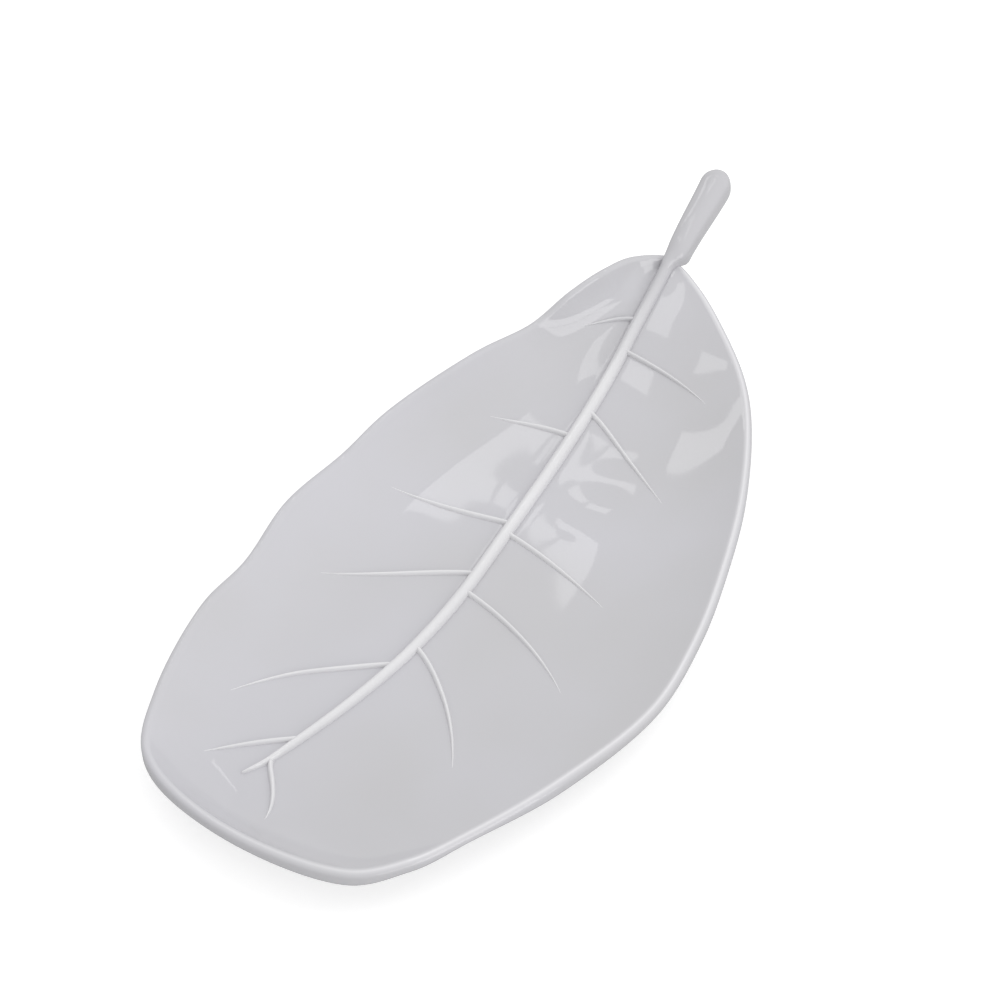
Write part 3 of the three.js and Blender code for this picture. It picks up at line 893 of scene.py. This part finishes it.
class LEAFDISH_OT_add_feet(bpy.types.Operator):
    """Model one rubber foot and copy it to its four places"""

    bl_idname = "leafdish.add_feet"
    bl_label = "Add Feet"

    def execute(self, context):
        leaf = Leaf(context.scene)
        foot = context.scene.leaf_foot
        clear_selection()
        bpy.ops.mesh.primitive_cylinder_add(
            vertices=FOOT_SIDES, radius=foot.radius, depth=foot.height, location=(0, 0, foot.height / 2))
        bpy.ops.object.transform_apply(location=True, rotation=True, scale=True)
        pattern = context.object
        self.cut_tread(pattern, foot)
        for name, (side, station, reach) in FOOT_PLAN.items():
            turn = np.array(leaf.turn(side, station))
            centre = leaf.underside(turn, np.array(reach))
            tilt = leaf.normal(turn, np.array(reach))
            clear_selection()
            pattern.select_set(True)
            context.view_layer.objects.active = pattern
            bpy.ops.object.duplicate()
            piece = context.object
            piece.name = piece.data.name = f"pad_{name}"
            points = read_points(piece)
            lean = (tilt[0] * points[:, 0] + tilt[1] * points[:, 1]) / tilt[2]
            upper = points[:, 2] > foot.height / 2
            points[upper, 2] = (centre[2] - lean + foot.bond)[upper]
            points[:, :2] += centre[:2]
            write_points(piece, points)
            seat_piece(piece, f"foot_{name}", foot_rubber(context.scene))
        bpy.data.objects.remove(pattern)
        return {"FINISHED"}

    @staticmethod
    def select_sole(pattern):
        """Selects the face that stands on the table."""
        bpy.ops.mesh.select_mode(type="FACE")
        bpy.ops.mesh.select_all(action="DESELECT")
        edit = bmesh.from_edit_mesh(pattern.data)
        min(edit.faces, key=lambda face: face.calc_center_median().z).select_set(True)
        bmesh.update_edit_mesh(pattern.data)

    def cut_tread(self, pattern, foot):
        """Rounds the lower edge and sinks a shallow cup into the sole."""
        bpy.ops.object.mode_set(mode="EDIT")
        self.select_sole(pattern)
        bpy.ops.mesh.bevel(offset=foot.chamfer, segments=CHAMFER_STEPS, affect="EDGES")
        self.select_sole(pattern)
        bpy.ops.mesh.inset(thickness=foot.tread)
        bpy.ops.mesh.inset(thickness=foot.cup_depth)
        bpy.ops.transform.translate(value=(0, 0, foot.cup_depth))
        bpy.ops.object.mode_set(mode="OBJECT")


class LEAFDISH_OT_set_stage(bpy.types.Operator):
    """Set the floor, the light and the camera"""

    bl_idname = "leafdish.set_stage"
    bl_label = "Set Stage"

    def execute(self, context):
        stage = context.scene.leaf_stage
        context.scene.view_settings.view_transform = "Standard"
        self.add_floor(stage)
        self.add_world(context.scene, stage)
        self.add_lights(stage)
        self.add_camera(context.scene, stage)
        return {"FINISHED"}

    @staticmethod
    def add_floor(stage):
        """A floor that is white to the camera and keeps the dish's shadow."""
        clear_selection()
        bpy.ops.mesh.primitive_plane_add(size=FLOOR_SIZE, location=(0, 0, 0))
        floor = bpy.context.object
        floor.name = "floor"
        material = bpy.data.materials.new("pale_floor")
        material.use_nodes = True
        sheet = NodeSheet(material.node_tree)
        shader = material.node_tree.nodes["Principled BSDF"]
        shader.inputs["Base Color"].default_value = (FLOOR_TONE, FLOOR_TONE, FLOOR_TONE, 1)
        shader.inputs["Roughness"].default_value = FLOOR_ROUGHNESS
        shader.inputs["Specular IOR Level"].default_value = 0.0
        shader.inputs["Emission Color"].default_value = WHITE
        path = sheet.add("ShaderNodeLightPath")
        glow = sheet.add("ShaderNodeMath", operation="MULTIPLY")
        glow.inputs[1].default_value = stage.floor_glow
        sheet.link(path.outputs["Is Camera Ray"], glow.inputs[0])
        sheet.link(glow.outputs["Value"], shader.inputs["Emission Strength"])
        floor.data.materials.append(material)

    @staticmethod
    def add_world(scene, stage):
        """Light from all round, which the camera and the gloss see as white."""
        world = bpy.data.worlds.new("studio")
        scene.world = world
        world.use_nodes = True
        sheet = NodeSheet(world.node_tree)
        background = world.node_tree.nodes["Background"]
        background.inputs["Color"].default_value = WHITE
        path = sheet.add("ShaderNodeLightPath")
        seen = sheet.add("ShaderNodeMath", operation="ADD", use_clamp=True)
        mirrored = sheet.add("ShaderNodeMath", operation="ADD", use_clamp=True)
        strength = sheet.add("ShaderNodeMix", data_type="FLOAT")
        strength.inputs["A"].default_value = stage.ambient
        strength.inputs["B"].default_value = 1.0
        sheet.link(path.outputs["Is Camera Ray"], seen.inputs[0])
        sheet.link(path.outputs["Is Glossy Ray"], seen.inputs[1])
        sheet.link(seen.outputs["Value"], mirrored.inputs[0])
        sheet.link(path.outputs["Is Transmission Ray"], mirrored.inputs[1])
        sheet.link(mirrored.outputs["Value"], strength.inputs["Factor"])
        sheet.link(strength.outputs["Result"], background.inputs["Strength"])

    @staticmethod
    def add_panel(name, place, turned, size, radiance):
        """One light panel."""
        bpy.ops.object.light_add(type="AREA", location=place, rotation=turned)
        light = bpy.context.object
        light.name = name
        light.data.shape = "RECTANGLE"
        light.data.size, light.data.size_y = size
        light.data.energy = POWER_PER_RADIANCE * radiance * size[0] * size[1]
        return light

    def add_lights(self, stage):
        """The panels overhead, those beside the dish and the fill."""
        for number, (place, size, turn) in enumerate(OVERHEAD_PANELS, 1):
            self.add_panel(f"overhead_{number}", (*place, PANEL_HEIGHT), (0, 0, turn), size, stage.overhead)
        for number, (place, size, radiance) in enumerate(SIDE_PANELS, 1):
            self.add_panel(f"side_{number}", place, facing(place), size, radiance)
        place, size, radiance = FILL_PANEL
        self.add_panel("fill", place, facing(place), size, radiance).visible_glossy = False

    @staticmethod
    def add_camera(scene, stage):
        """The camera, set back from its target."""
        target = Vector(stage.target)
        level = math.cos(stage.elevation)
        across, along = math.sin(stage.azimuth) * level, -math.cos(stage.azimuth) * level
        back = Vector((across, along, math.sin(stage.elevation)))
        bpy.ops.object.camera_add(location=target + back * stage.distance, rotation=facing(back))
        camera = bpy.context.object
        camera.data.lens = stage.lens
        camera.data.sensor_width = SENSOR_WIDTH
        scene.camera = camera


class LEAFDISH_PT_build(bpy.types.Panel):
    """Lists the steps that build the dish"""

    bl_idname = "LEAFDISH_PT_build"
    bl_label = "Leaf Dish"
    bl_space_type = "VIEW_3D"
    bl_region_type = "UI"
    bl_category = "Leaf Dish"

    def draw(self, context):
        for operator in OPERATORS:
            self.layout.operator(operator.bl_idname)


SETTINGS = {
    "leaf_blade": BladeSettings,
    "leaf_rib": RibSettings,
    "leaf_foot": FootSettings,
    "leaf_finish": FinishSettings,
    "leaf_stage": StageSettings,
}
OPERATORS = (
    LEAFDISH_OT_set_stage,
    LEAFDISH_OT_add_blade,
    LEAFDISH_OT_add_stem,
    LEAFDISH_OT_add_veins,
    LEAFDISH_OT_add_feet,
)


def register():
    """Adds the settings, the operators and the panel to Blender."""
    for settings in SETTINGS.values():
        bpy.utils.register_class(settings)
    for operator in OPERATORS:
        bpy.utils.register_class(operator)
    bpy.utils.register_class(LEAFDISH_PT_build)
    for name, settings in SETTINGS.items():
        setattr(bpy.types.Scene, name, PointerProperty(type=settings))


def unregister():
    """Takes them out again."""
    for name in SETTINGS:
        delattr(bpy.types.Scene, name)
    bpy.utils.unregister_class(LEAFDISH_PT_build)
    for operator in reversed(OPERATORS):
        bpy.utils.unregister_class(operator)
    for settings in reversed(SETTINGS.values()):
        bpy.utils.unregister_class(settings)


def main():
    """Builds the dish and its stage."""
    register()
    bpy.ops.leafdish.set_stage()
    bpy.ops.leafdish.add_blade()
    bpy.ops.leafdish.add_stem()
    bpy.ops.leafdish.add_veins()
    bpy.ops.leafdish.add_feet()


if __name__ == "__main__":
    main()
